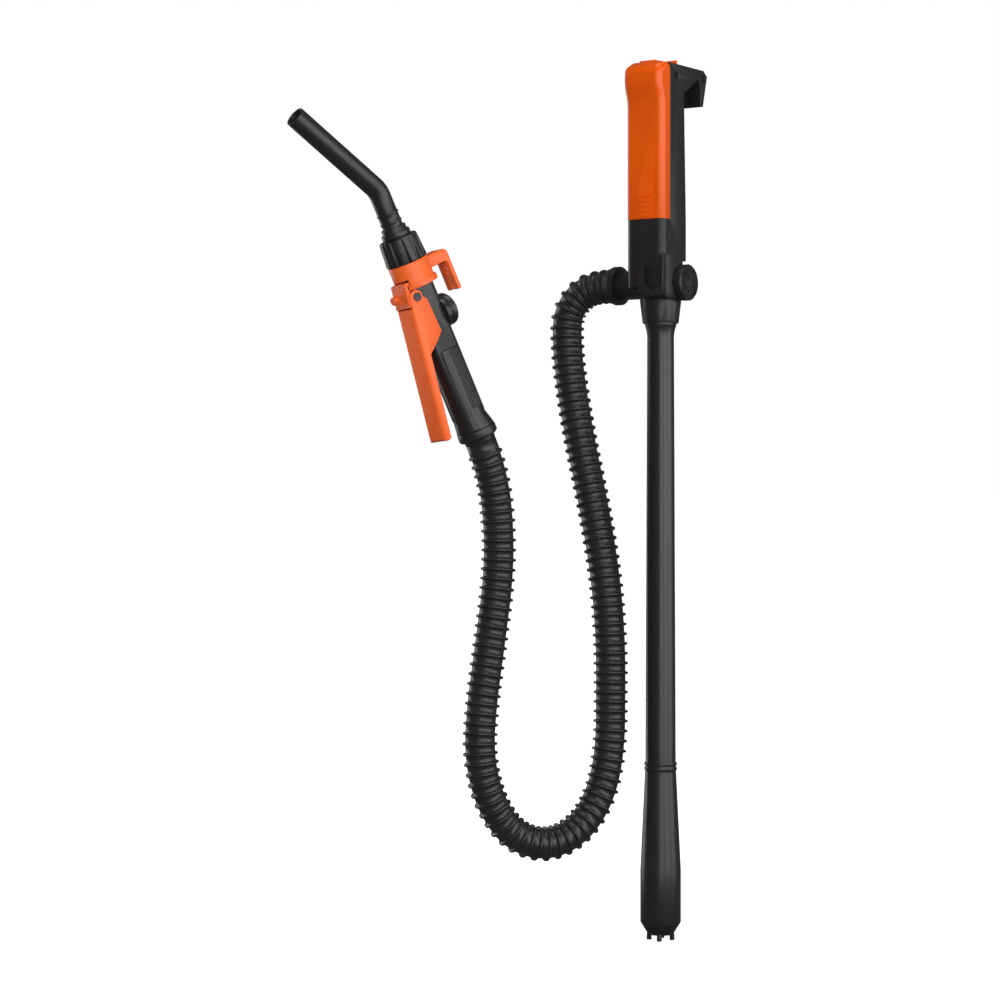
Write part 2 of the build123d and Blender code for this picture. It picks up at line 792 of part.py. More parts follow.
upper_contact_low = cell_base + cell_stack
with BuildPart() as upper_contact:
    with BuildSketch(Plane.XY.offset(upper_contact_low)):
        with Locations((0, bay_back - fit_gap)):
            Rectangle(24, bay_back - cell_centre_y + 6, align=(Align.CENTER, Align.MAX))
    extrude(amount=plate_thickness)
    with BuildSketch(Plane.XY.offset(upper_contact_low)):
        with Locations((0, bay_back - fit_gap)):
            Rectangle(24, plate_thickness, align=(Align.CENTER, Align.MAX))
    extrude(amount=bay_roof - upper_contact_low)
save(upper_contact.part, "upper_contact")

# ---- battery cover: slides up off the spine -----------------------------------------------
cover_bulge = 5.8
cover_top = head_top + 1.0
tongue_half_width = 9.0
tongue_back = 17.5
nose_radius = 13.0
crown_drop = 5.0


def cover_body(inset):
    """Solid block of the cover's outline, drawn in by the wall for its hollow."""
    front = head_front - inset
    nose = head_front + cover_bulge - inset
    top = cover_top - inset
    with BuildPart() as block:
        with BuildSketch(Plane.YZ):
            with BuildLine():
                Polyline(
                    (-cover_split - slide_gap, cover_bottom + slide_gap),
                    (-front, cover_bottom + slide_gap),
                    (-front, head_top - 45),
                )
                Spline(
                    [(-front, head_top - 45), (-nose, head_top - 17)],
                    tangents=[(0, 1), (0, 1)],
                )
                Line((-nose, head_top - 17), (-nose, top - nose_radius))
                RadiusArc((-nose, top - nose_radius), (-nose + nose_radius, top), nose_radius)
                Polyline(
                    (-nose + nose_radius, top),
                    (-cover_split - slide_gap, top),
                    (-cover_split - slide_gap, cover_bottom + slide_gap),
                )
            make_face()
        extrude(amount=head_half_width - inset, both=True)
        corner_edges = block.edges().filter_by_position(Axis.Y, -nose - 1, -front + 9.5)
        upright = corner_edges.filter_by(
            lambda edge: abs(abs(edge.center().X) - head_half_width + inset) < 0.01
            and edge.center().Z > cover_bottom + slide_gap + 0.1
        )
        fillet(upright, front_corner - inset - 1.0)
        crown_front = Plane((0, -nose, top - crown_drop), x_dir=(1, 0, 0), z_dir=(0, -1, 0))
        crown_plane = crown_front.rotated((crown_tilt, 0, 0))
        with BuildSketch(crown_plane) as crown_outline:
            Rectangle(2 * (head_half_width - inset), 2 * top, align=(Align.CENTER, Align.MAX))
            fillet(crown_outline.vertices().group_by(Axis.Y)[-1], crown_radius - inset)
        extrude(amount=2 * nose + top, both=True, mode=Mode.INTERSECT)
    return block.part


cover_outside = cover_body(0)
cover_hollow = cover_body(wall)
with BuildPart() as battery_cover:
    add(cover_outside)
    add(Pos(0, 0, -0.5) * cover_hollow, mode=Mode.SUBTRACT)
    with BuildSketch(Plane.XY.offset(cover_bottom)):
        with Locations((0, -cover_split - slide_gap - 2)):
            Rectangle(2 * inner_half_width, 8)
    extrude(amount=cover_top - wall - cover_bottom, mode=Mode.SUBTRACT)
    # tongue over the top of the spine, with a thumb tab at its end
    with BuildSketch(Plane.XY.offset(head_top + slide_gap)):
        with Locations((0, -cover_split - 8)):
            Rectangle(2 * tongue_half_width, tongue_back + cover_split + 8, align=(Align.CENTER, Align.MIN))
    extrude(amount=2.4)
    with BuildSketch(Plane.XY.offset(head_top + slide_gap)):
        with Locations((0, tongue_back)):
            Rectangle(2 * tongue_half_width, 3.0, align=(Align.CENTER, Align.MAX))
    extrude(amount=7.0)
    # grip lines near the lower edge
    for line in range(5):
        with BuildSketch(Plane.XY.offset(cover_bottom + 2.4 + 5.1 * line)):
            with Locations((0, -head_front)):
                Rectangle(15.5, 1.0)
        extrude(amount=1.2)
save(battery_cover.part, "battery_cover")

# =================================================================================
# Hose
# =================================================================================
print("hose radii, mm:")
bend_radii = []
for number in range(1, len(hose_route) - 1):
    before = Vector(hose_route[number]) - Vector(hose_route[number - 1])
    after = Vector(hose_route[number + 1]) - Vector(hose_route[number])
    turn = math.radians(before.get_angle(after))
    shorter_run = min(before.length, after.length)
    bend_radii.append(0.45 * shorter_run / math.tan(turn / 2))
print([round(radius) for radius in bend_radii])

cuff_end = hose_route[0][0]
with BuildPart() as hose:
    with BuildLine() as hose_path:
        FilletPolyline(hose_route, radius=bend_radii)
    with BuildSketch(Plane(hose_route[0], x_dir=(0, 1, 0), z_dir=(-1, 0, 0))):
        Circle(hose_radius)
        Circle(hose_bore_radius, mode=Mode.SUBTRACT)
    sweep()
hose_length = hose_path.wires()[0].length
hose_section = math.pi * (hose_radius**2 - hose_bore_radius**2)
print("hose length", round(hose_length), "volume ratio", round(hose.part.volume / hose_section / hose_length, 4))
save(hose.part, "hose")

cuff_start = cuff_end + cuff_length
with BuildPart() as hose_cuff:
    with BuildSketch(Plane.YZ.offset(cuff_start)):
        with Locations((0, port_height)):
            Circle(cuff_radius)
    extrude(amount=-cuff_flange)
    with BuildSketch(Plane.YZ.offset(cuff_start - cuff_flange)):
        with Locations((0, port_height)):
            Circle(cuff_radius - 0.8)
    with BuildSketch(Plane.YZ.offset(cuff_end)):
        with Locations((0, port_height)):
            Circle(hose_radius + 0.5)
    loft()
    with BuildSketch(Plane.YZ.offset(cuff_start)):
        with Locations((0, port_height)):
            Circle(barb_radius + fit_gap)
    extrude(amount=-cuff_length, mode=Mode.SUBTRACT)
save(hose_cuff.part, "hose_cuff")

# =================================================================================
# Nozzle
# =================================================================================
barb_in_hose = 14.0
swivel_bore = 11.0
nozzle_swivel = turned(
    nozzle,
    [
        (0, hose_radius - 1.5),
        (tail_length, hose_radius - 1.5),
        (tail_length, ring_radius - 1.4),
        (tail_length + 1.4, ring_radius),
        (ring_end - 1.4, ring_radius),
        (ring_end, ring_radius - 1.4),
    ],
    bore=swivel_bore,
)
save(nozzle_swivel, "nozzle_swivel")

# ---- body: hose spigot, grip, valve chest and neck in one casting ------------------------
body_start = ring_end + 0.1
with BuildPart() as nozzle_body:
    with BuildSketch(nozzle.offset(-barb_in_hose)):
        Circle(swivel_bore - fit_gap)
    extrude(amount=barb_in_hose + body_start)
    with BuildSketch(nozzle.offset(body_start)):
        Circle(ring_radius - 0.6)
    with BuildSketch(nozzle.offset(flare_end)):
        with Locations((grip_offset, 0)):
            Circle(grip_radius)
    loft()
    with BuildSketch(nozzle.offset(flare_end)):
        with Locations((grip_offset, 0)):
            Circle(grip_radius)
    extrude(amount=grip_end - flare_end)
    with BuildSketch(nozzle.offset(flare_end)):
        with Locations(((chest_front - chest_back) / 2, 0)):
            RectangleRounded(chest_front + chest_back, 2 * chest_half_width, chest_corner)
    extrude(amount=chest_end - flare_end)
    with BuildSketch(nozzle.offset(chest_end)):
        Circle(neck_radius)
    extrude(amount=neck_end - chest_end)
    # round seat of the diaphragm on the back of the chest
    valve_plane = Plane(nozzle_side().from_local_coords((0, valve_at, 0)), x_dir=nozzle.z_dir, z_dir=nozzle.x_dir)
    with BuildSketch(valve_plane.offset(-cap_seat)):
        Circle(cap_radius)
    extrude(amount=cap_seat - chest_back + 4)
    # rib that carries the latch
    with BuildSketch(nozzle_side()):
        with Locations((latch_pivot_across - 2.4, latch_pivot_along)):
            SlotOverall(10, 5.2)
    extrude(amount=3.4, both=True)
    # fuel passages: from the hose to the valve room, from there to the spout
    with BuildSketch(nozzle.offset(-barb_in_hose)):
        Circle(8.0)
    extrude(amount=barb_in_hose + body_start + 6, mode=Mode.SUBTRACT)
    with BuildSketch(nozzle.offset(body_start)):
        with Locations((passage_offset, 0)):
            SlotOverall(passage_width, passage_depth, rotation=90)
    extrude(amount=valve_at - body_start, mode=Mode.SUBTRACT)
    with BuildSketch(nozzle.offset(valve_at)):
        with Locations((-passage_offset, 0)):
            SlotOverall(passage_width, passage_depth, rotation=90)
    extrude(amount=neck_end - valve_at, mode=Mode.SUBTRACT)
    # valve room, its lower half and the guide of the stem
    with BuildSketch(valve_plane.offset(-cap_seat)):
        Circle(valve_room_radius + fit_gap)
    extrude(amount=cap_seat + 2, mode=Mode.SUBTRACT)
    with BuildSketch(valve_plane):
        Circle(valve_room_radius - 1.0)
    extrude(amount=10.5, mode=Mode.SUBTRACT)
    with BuildSketch(valve_plane):
        Circle(stem_radius + shaft_gap)
    extrude(amount=chest_front + 2, mode=Mode.SUBTRACT)
    with BuildSketch(valve_plane.offset(chest_front - 3)):
        Circle(4.0 + fit_gap)
    extrude(amount=5, mode=Mode.SUBTRACT)
    # holes of the lever's and the latch's pins
    with BuildSketch(nozzle_side(-20)):
        with Locations((lever_pivot_across, lever_pivot_along), (latch_pivot_across, latch_pivot_along)):
            Circle(pin_radius + fit_gap)
    extrude(amount=40, mode=Mode.SUBTRACT)
save(nozzle_body.part, "nozzle_body")

# ---- valve: seat, poppet with its stem, seal, spring, plug, diaphragm and cap ---------------
valve_seat = turned(valve_plane, [(-1, valve_room_radius), (2, valve_room_radius)], bore=6.0)
save(valve_seat, "valve_seat")

poppet = turned(
    valve_plane,
    [
        (-3.5, poppet_radius),
        (-1.05, poppet_radius),
        (-1.05, stem_radius),
        (stem_end, stem_radius),
    ],
)
save(poppet, "valve_poppet")

stem_seal = turned(
    valve_plane,
    [(chest_front - 3, 4.0), (chest_front, 4.0)],
    bore=stem_radius + shaft_gap,
)
save(stem_seal, "stem_seal")

plug_front = cap_seat - 3.0
valve_plug = turned(
    valve_plane,
    [(-cap_seat, valve_room_radius), (-plug_front, valve_room_radius)],
    bore=0.8,
)
save(valve_plug, "valve_plug")

valve_wire = 0.6
valve_turns = 3
with BuildPart() as valve_spring:
    spring_start = -plug_front + valve_wire + 0.1
    valve_rise = plug_front - 3.5 - 2 * valve_wire - 0.2
    with BuildLine() as valve_coil:
        Helix(
            pitch=valve_rise / valve_turns,
            height=valve_rise,
            radius=5.5,
            center=valve_plane.from_local_coords((0, 0, spring_start)),
            direction=valve_plane.z_dir,
        )
    with BuildSketch(Plane(valve_coil.line @ 0, z_dir=valve_coil.line % 0)):
        Circle(valve_wire)
    sweep(is_frenet=True)
save(valve_spring.part, "valve_spring")

diaphragm = turned(
    valve_plane,
    [(-cap_seat - diaphragm_thickness, cap_radius - 0.4), (-cap_seat, cap_radius - 0.4)],
)
save(diaphragm, "diaphragm")

cap_start = -cap_seat - diaphragm_thickness
with BuildPart() as diaphragm_cap:
    with BuildSketch(valve_plane.offset(-cap_face)):
        Circle(cap_radius)
    extrude(amount=cap_face + cap_start)
    fillet(diaphragm_cap.faces().sort_by(Axis(valve_plane.origin, valve_plane.z_dir))[0].edges(), 1.6)
    with BuildSketch(valve_plane.offset(cap_start)):
        Circle(cap_radius - 3.5)
    extrude(amount=-2.4, mode=Mode.SUBTRACT)
save(diaphragm_cap.part, "diaphragm_cap")

# ---- trigger lever: a channel that straddles the chest ----------------------------------------


def lever_outer(along):
    """Distance of the lever's outer face from the nozzle's axis."""
    return lever_face_across + lever_slope * (lever_face_along - along)


web_top = latch_low - 1.6
flange_edge = [
    # (distance along the nozzle, distance of the side wall's rear edge)
    (152, 4.6),
    (118, 3.2),
    (111, 11.0),
    (102, 25.6),
    (50, 35.3),
    (22, 40.4),
]
with BuildPart() as trigger_lever:
    with BuildSketch(nozzle_side()):
        with BuildLine():
            Polyline(
                (lever_outer(web_top + 14), web_top + 14),
                (lever_outer(lever_low + 3), lever_low + 3),
                (lever_outer(lever_low + 3) - 3, lever_low),
                (flange_edge[-1][1], lever_low + 1),
                *[(across, along) for along, across in reversed(flange_edge)],
                (lever_pivot_across - lever_end_radius, lever_pivot_along - 2),
                (lever_pivot_across - lever_end_radius, lever_pivot_along),
                (lever_outer(web_top + 14), web_top + 14),
            )
        make_face()
        with Locations((lever_pivot_across, lever_pivot_along)):
            Circle(lever_end_radius)
    extrude(amount=lever_half_width, both=True)
    outer_edges = trigger_lever.edges().filter_by(
        lambda edge: nozzle.to_local_coords(edge.center()).X
        > lever_outer(nozzle.to_local_coords(edge.center()).Z) - 0.4
        and nozzle.to_local_coords(edge.center()).Z < web_top
        and abs(nozzle.to_local_coords(edge.center()).Y) > lever_half_width - 0.1
        and edge.length > 40
    )
    fillet(outer_edges, 5.0)
    # hollow of the channel, and the gap above the web that the latch fills
    with BuildSketch(nozzle_side()):
        with BuildLine():
            Polyline(
                (lever_outer(web_top) - lever_wall, web_top),
                (lever_outer(lever_low) - lever_wall, lever_low + lever_wall),
                (lever_end_depth, lever_low + lever_wall),
                (lever_end_depth, lever_low - 1),
                (-5, lever_low - 1),
                (-5, web_top + 30),
                (40, web_top + 30),
                (40, web_top),
                close=True,
            )
        make_face()
    extrude(amount=lever_half_width - lever_wall, both=True, mode=Mode.SUBTRACT)
    with BuildSketch(nozzle_side(-20)):
        with Locations((lever_pivot_across, lever_pivot_along)):
            Circle(pin_radius + shaft_gap)
    extrude(amount=40, mode=Mode.SUBTRACT)
save(trigger_lever.part, "trigger_lever")

pin_half_length = lever_half_width + 1.5
with BuildPart() as lever_pin:
    with BuildSketch(nozzle_side(-lever_half_width - 0.3)):
        with Locations((lever_pivot_across, lever_pivot_along)):
            Circle(pin_radius)
    extrude(amount=pin_half_length + lever_half_width + 0.3)
    for side in (-1, 1):
        with BuildSketch(nozzle_side(side * (lever_half_width + 0.3))):
            with Locations((lever_pivot_across, lever_pivot_along)):
                Circle(4.2)
        extrude(amount=side * 1.2)
save(lever_pin.part, "lever_pin")

# ---- latch that holds the lever open -------------------------------------------------------
with BuildPart() as latch:
    with BuildSketch(nozzle_side()):
        with BuildLine():
            Polyline(
                (latch_face, latch_low),
                (latch_top_face, latch_high - 0.6),
                (latch_top_face - 0.6, latch_high),
                (latch_back, latch_high),
                (latch_back, chest_end + 0.9),
                (chest_front + 0.8, chest_end + 0.4),
                (latch_face - 6.4, latch_low),
                close=True,
            )
        make_face()
    extrude(amount=latch_half_width, both=True)
    with BuildSketch(nozzle_side()):
        with Locations((latch_pivot_across - 4, latch_pivot_along)):
            Rectangle(14, 9.5)
    extrude(amount=3.8, both=True, mode=Mode.SUBTRACT)
    with BuildSketch(nozzle_side(-20)):
        with Locations((latch_pivot_across, latch_pivot_along)):
            Circle(pin_radius + shaft_gap)
    extrude(amount=40, mode=Mode.SUBTRACT)
    stud_plane = Plane(
        nozzle.from_local_coords((0, -7, 161)),
        x_dir=nozzle.z_dir,
        z_dir=nozzle.x_dir,
    )
    with BuildSketch(stud_plane.offset(latch_top_face)):
        Circle(4.0)
    extrude(amount=latch_face + 3.0 - latch_top_face)
save(latch.part, "latch")

with BuildPart() as latch_pin:
    with BuildSketch(nozzle_side(-latch_half_width + 1)):
        with Locations((latch_pivot_across, latch_pivot_along)):
            Circle(pin_radius)
    extrude(amount=2 * latch_half_width - 2)
save(latch_pin.part, "latch_pin")

# ---- collar with the hanging hook -------------------------------------------------------------
with BuildPart() as hook_collar:
    with BuildSketch(nozzle_side()):
        with BuildLine():
            Polyline(
                (-12, hook_arm_low),
                (-hook_front + 4, hook_arm_low),
            )
            RadiusArc((-hook_front + 4, hook_arm_low), (-hook_front, hook_arm_low - 4), -4)
            Polyline(
                (-hook_front, hook_arm_low - 4),
                (-hook_front, hook_tip + 1),
                (-hook_front - 1, hook_tip),
                (-hook_back + 1, hook_tip),
                (-hook_back, hook_tip + 1),
                (-hook_back, hook_arm_top - 6),
            )
            RadiusArc((-hook_back, hook_arm_top - 6), (-hook_back + 6, hook_arm_top), 6)
            Polyline(
                (-hook_back + 6, hook_arm_top),
                (-12, hook_arm_top),
                (-12, hook_arm_low),
            )
        make_face()
    extrude(amount=hook_half_width, both=True)
    with BuildSketch(nozzle_side()):
        with Locations((-hook_back, hook_tip + 11)):
            Rectangle(20, 28)
    extrude(amount=hook_slot / 2, both=True, mode=Mode.SUBTRACT)
    with BuildSketch(nozzle.offset(collar_start)):
        Circle(collar_grip_radius)
    extrude(amount=collar_end - collar_start)
    with BuildSketch(nozzle.offset(collar_start)):
        Circle(collar_flange_radius)
    extrude(amount=collar_flange)
    with BuildSketch(nozzle.offset(collar_start)):
        Circle(neck_radius + fit_gap)
    extrude(amount=collar_end - collar_start, mode=Mode.SUBTRACT)
    # notch for the latch and its rib
    with BuildSketch(nozzle_side()):
        with Locations((chest_front - 6, collar_start - 2)):
            Rectangle(20, latch_high - collar_start + 4, align=(Align.MIN, Align.MIN))
    extrude(amount=latch_half_width + 0.8, both=True, mode=Mode.SUBTRACT)
save(hook_collar.part, "hook_collar")

# ---- union nut, gasket and spout ------------------------------------------------------------------
with BuildPart() as union_nut:
    add(
        turned(
            nozzle,
            [
                (nut_start, nut_low_radius - 0.8),
                (nut_start + 0.8, nut_low_radius),
                (nut_end - 1.2, nut_top_radius),
                (nut_end, nut_top_radius - 1.2),
            ],
            bore=spout_base_radius + shaft_gap,
        )
    )
    with BuildSketch(nozzle.offset(nut_start)):
        Circle(neck_radius + fit_gap)
    extrude(amount=neck_end + 1.0 - nut_start, mode=Mode.SUBTRACT)
    with BuildSketch(nozzle.offset(nut_start)):
        with PolarLocations(nut_low_radius + 0.2, nut_grooves):
            Circle(2.6)
    extrude(amount=nut_end - nut_start, mode=Mode.SUBTRACT)
save(union_nut.part, "union_nut")

spout_gasket = turned(nozzle, [(neck_end, spout_base_radius), (neck_end + 1, spout_base_radius)], bore=spout_bore)
save(spout_gasket, "spout_gasket")

spout_start = neck_end + 1.0
rise = math.radians(spout_angle)
spout_tip = (spout_reach * math.sin(rise), spout_bend_at + spout_reach * math.cos(rise))
with BuildPart() as spout:
    with BuildSketch(nozzle.offset(spout_start)):
        Circle(spout_base_radius)
    extrude(amount=227 - spout_start)
    with BuildSketch(nozzle.offset(nut_end + 0.4)):
        Circle(spout_flange_radius)
    extrude(amount=5.6)
    for height in (231.0, 240.0):
        with BuildSketch(nozzle.offset(height)):
            Circle(spout_radius + 0.9)
        extrude(amount=1.8)
    with BuildLine(nozzle_side()) as spout_path:
        FilletPolyline((0, spout_start), (0, spout_bend_at), spout_tip, radius=spout_bend_radius)
    with BuildSketch(nozzle.offset(spout_start)):
        Circle(spout_radius)
    sweep(path=spout_path.line)
    with BuildSketch(nozzle.offset(spout_start)):
        Circle(spout_bore)
    sweep(path=spout_path.line, mode=Mode.SUBTRACT)
save(spout.part, "spout")
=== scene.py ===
import json
import math

import bpy
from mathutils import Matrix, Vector

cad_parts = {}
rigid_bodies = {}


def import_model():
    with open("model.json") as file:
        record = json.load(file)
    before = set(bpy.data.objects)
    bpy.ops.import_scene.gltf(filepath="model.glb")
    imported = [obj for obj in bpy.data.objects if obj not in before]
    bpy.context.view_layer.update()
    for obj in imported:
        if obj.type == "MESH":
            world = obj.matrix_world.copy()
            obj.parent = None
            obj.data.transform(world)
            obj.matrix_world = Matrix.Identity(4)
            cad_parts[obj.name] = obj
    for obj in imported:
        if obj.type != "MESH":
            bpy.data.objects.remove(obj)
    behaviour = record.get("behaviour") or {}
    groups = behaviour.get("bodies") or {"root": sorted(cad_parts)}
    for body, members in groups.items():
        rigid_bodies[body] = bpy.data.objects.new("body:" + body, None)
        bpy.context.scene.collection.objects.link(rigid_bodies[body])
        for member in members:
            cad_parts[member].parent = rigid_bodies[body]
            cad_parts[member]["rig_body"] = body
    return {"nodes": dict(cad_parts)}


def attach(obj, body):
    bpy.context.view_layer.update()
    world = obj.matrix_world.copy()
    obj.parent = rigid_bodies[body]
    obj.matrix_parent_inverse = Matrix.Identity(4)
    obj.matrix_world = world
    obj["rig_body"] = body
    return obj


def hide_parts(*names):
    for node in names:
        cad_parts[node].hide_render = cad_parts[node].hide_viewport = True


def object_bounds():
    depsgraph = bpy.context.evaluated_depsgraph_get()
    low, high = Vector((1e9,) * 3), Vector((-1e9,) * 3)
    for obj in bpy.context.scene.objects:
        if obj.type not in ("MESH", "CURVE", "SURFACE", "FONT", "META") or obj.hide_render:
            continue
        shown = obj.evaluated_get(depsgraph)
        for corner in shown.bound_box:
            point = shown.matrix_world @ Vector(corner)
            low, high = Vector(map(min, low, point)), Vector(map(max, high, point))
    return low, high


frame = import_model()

cad_low, cad_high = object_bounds()
bpy.ops.object.select_all(action="DESELECT")

# ---------------------------------------------------------------------------
# Studio: a pale floor, a broad bank of softboxes in front and on the right, one
# behind on the left, a soft top light, and a level camera right of the front.
# ---------------------------------------------------------------------------
MM = 0.001
VIEW_TURN = math.radians(34)          # the camera stands this far round from the front
RIGHT = Vector((math.cos(VIEW_TURN), math.sin(VIEW_TURN), 0))
TOWARD = Vector((math.sin(VIEW_TURN), -math.cos(VIEW_TURN), 0))
CAMERA_DISTANCE = 2.7
CAMERA_HEIGHT = -0.1765
CAMERA_SIDE = -0.1606
LENS = 97.2

camera_place = RIGHT * CAMERA_SIDE + TOWARD * CAMERA_DISTANCE + Vector((0, 0, CAMERA_HEIGHT))
bpy.ops.object.camera_add(location=camera_place, rotation=(math.radians(90), 0, VIEW_TURN))
camera = bpy.context.object
camera.data.lens = LENS
camera.data.sensor_width = 36
camera.data.clip_end = 60
bpy.context.scene.camera = camera
bpy.context.scene.view_settings.view_transform = "Standard"


def softbox(name, turn, lift, distance, width, height, power, aim=Vector((-0.06, -0.05, -0.1))):
    """A rectangular light at a turn to the right of the camera, aimed at the pump."""
    side = TOWARD * math.cos(math.radians(turn)) + RIGHT * math.sin(math.radians(turn))
    place = aim + side * distance * math.cos(math.radians(lift))
    place.z += distance * math.sin(math.radians(lift))
    bpy.ops.object.light_add(type="AREA", location=place)
    lamp = bpy.context.object
    lamp.name = name
    lamp.data.shape = "RECTANGLE"
    lamp.data.size = width
    lamp.data.size_y = height
    lamp.data.energy = power
    lamp.rotation_euler = (aim - place).to_track_quat("-Z", "Y").to_euler()
    return lamp


softbox("key_near", 6, 6, 3.6, 1.7, 2.6, 38)
softbox("key_middle", 40, 8, 3.6, 1.9, 2.6, 50)
softbox("key_far", 76, 8, 3.6, 1.9, 2.6, 43)
softbox("left_behind", -128, 6, 3.0, 1.6, 2.4, 24)
softbox("top_light", 10, 76, 2.8, 1.6, 1.6, 26)
front_fill = softbox("front_fill", -26, 0, 3.2, 1.6, 0.7, 34)
front_fill.visible_glossy = False

world = bpy.data.worlds.new("studio")
bpy.context.scene.world = world
world.use_nodes = True
sky = world.node_tree
sky.nodes.clear()
seen = sky.nodes.new("ShaderNodeBackground")
seen.inputs["Color"].default_value = (1, 1, 1, 1)
seen.inputs["Strength"].default_value = 1.0
felt = sky.nodes.new("ShaderNodeBackground")
felt.inputs["Color"].default_value = (1, 1, 1, 1)
felt.inputs["Strength"].default_value = 0.12
rays = sky.nodes.new("ShaderNodeLightPath")
either = sky.nodes.new("ShaderNodeMixShader")
sky_out = sky.nodes.new("ShaderNodeOutputWorld")
sky.links.new(rays.outputs["Is Camera Ray"], either.inputs["Fac"])
sky.links.new(felt.outputs["Background"], either.inputs[1])
sky.links.new(seen.outputs["Background"], either.inputs[2])
sky.links.new(either.outputs["Shader"], sky_out.inputs["Surface"])

bpy.ops.mesh.primitive_plane_add(size=60, location=(0, 0, cad_low.z - 0.0004))
floor = bpy.context.object
floor.name = "studio_floor"
floor_paint = bpy.data.materials.new("floor_paint")
floor_paint.use_nodes = True
floor_shader = floor_paint.node_tree.nodes["Principled BSDF"]
floor_shader.inputs["Base Color"].default_value = (0.75, 0.75, 0.75, 1)
floor_shader.inputs["Roughness"].default_value = 0.8
floor_shader.inputs["Emission Color"].default_value = (1, 1, 1, 1)
floor_shader.inputs["Emission Strength"].default_value = 1.0
floor.data.materials.append(floor_paint)
floor.visible_diffuse = False
floor.visible_glossy = False


# ---------------------------------------------------------------------------
# Tank collar and suction tube: black glass-filled nylon, spark-eroded grain.
# The collar tapers to wedge in the neck of a can; the tube carries the fuel
# and the motor's two wires.
# ---------------------------------------------------------------------------
class Signal:
    """A shader socket that can be written into sums, products and comparisons."""

    def __init__(self, finish, socket):
        self.finish = finish
        self.socket = socket

    def maths(self, operation, other=None, swapped=False):
        values = [self] if other is None else [self, other]
        if swapped:
            values.reverse()
        return self.finish.node("ShaderNodeMath", {"operation": operation}, *values)

    def __add__(self, other):
        return self.maths("ADD", other)

    def __radd__(self, other):
        return self.maths("ADD", other, swapped=True)

    def __sub__(self, other):
        return self.maths("SUBTRACT", other)

    def __rsub__(self, other):
        return self.maths("SUBTRACT", other, swapped=True)

    def __mul__(self, other):
        return self.maths("MULTIPLY", other)

    def __rmul__(self, other):
        return self.maths("MULTIPLY", other, swapped=True)

    def __gt__(self, other):
        return self.maths("GREATER_THAN", other)

    def __lt__(self, other):
        return self.maths("LESS_THAN", other)

    def __getitem__(self, name):
        return Signal(self.finish, self.socket.node.outputs[name])


class Finish:
    """One surface finish: a principled shader and the nodes that vary it."""

    def __init__(self, name, colour, roughness, metallic=0.0, coat=0.0, level=0.5):
        self.material = bpy.data.materials.new(name)
        self.material.use_nodes = True
        self.tree = self.material.node_tree
        self.shader = self.tree.nodes["Principled BSDF"]
        self.shader.inputs["Base Color"].default_value = (*colour, 1.0)
        self.shader.inputs["Roughness"].default_value = roughness
        self.shader.inputs["Metallic"].default_value = metallic
        self.shader.inputs["Coat Weight"].default_value = coat
        self.shader.inputs["Specular IOR Level"].default_value = level
        self.place = self.node("ShaderNodeTexCoord", {})["Object"]

    def node(self, kind, settings, *values, **named):
        made = self.tree.nodes.new(kind)
        for key, value in settings.items():
            setattr(made, key, value)
        pairs = list(zip(made.inputs, values))
        pairs += [(made.inputs[key.replace("_", " ")], value) for key, value in named.items()]
        for socket, value in pairs:
            if isinstance(value, Signal):
                self.tree.links.new(value.socket, socket)
            else:
                socket.default_value = value
        return Signal(self, made.outputs[0])

    def noise(self, size, detail=2.0, stretch=(1, 1, 1)):
        """Noise whose grains are about this many millimetres across."""
        spread = self.node("ShaderNodeVectorMath", {"operation": "MULTIPLY"}, self.place, stretch)
        return self.node("ShaderNodeTexNoise", {}, Vector=spread, Scale=1000.0 / size, Detail=detail)["Fac"]

    def distance_along(self, direction, start=0.0):
        """Millimetres along a direction, counted from a start on it."""
        settings = {"operation": "DOT_PRODUCT"}
        product = self.node("ShaderNodeVectorMath", settings, self.place, tuple(direction))
        return 1000.0 * product["Value"] - start

    def blend(self, factor, first, second):
        """A colour between two others."""
        made = self.node("ShaderNodeMix", {"data_type": "RGBA"})
        mix = made.socket.node
        for number, value in ((0, factor), (6, first), (7, second)):
            if isinstance(value, Signal):
                self.tree.links.new(value.socket, mix.inputs[number])
            else:
                mix.inputs[number].default_value = value
        return Signal(self, mix.outputs[2])

    def feed(self, name, signal):
        self.tree.links.new(signal.socket, self.shader.inputs[name])

    def bump(self, height, depth, strength=1.0):
        """Relief of this many millimetres."""
        raised = self.node("ShaderNodeBump", {}, Strength=strength, Distance=depth * MM, Height=height)
        self.feed("Normal", raised)


def shade(colour, amount):
    """The same colour, darker or lighter."""
    return tuple(min(1.0, part * amount) for part in colour[:3]) + (1.0,)


def moulded(name, colour, roughness, grain=0.35, relief=0.02, coat=0.0, level=0.5):
    """Injection-moulded plastic: fine spark-eroded grain and faint flow marks."""
    skin = Finish(name, colour, roughness, coat=coat, level=level)
    flow = skin.noise(28, 3, (1, 1, 0.35))
    grains = skin.noise(grain, 2)
    dust = skin.noise(2.4, 4)
    skin.feed("Base Color", skin.blend(flow, shade(colour, 0.86), shade(colour, 1.16)))
    skin.feed("Roughness", roughness - 0.05 + 0.06 * flow + 0.05 * dust)
    skin.bump(grains + 0.6 * dust, relief, 0.5)
    return skin


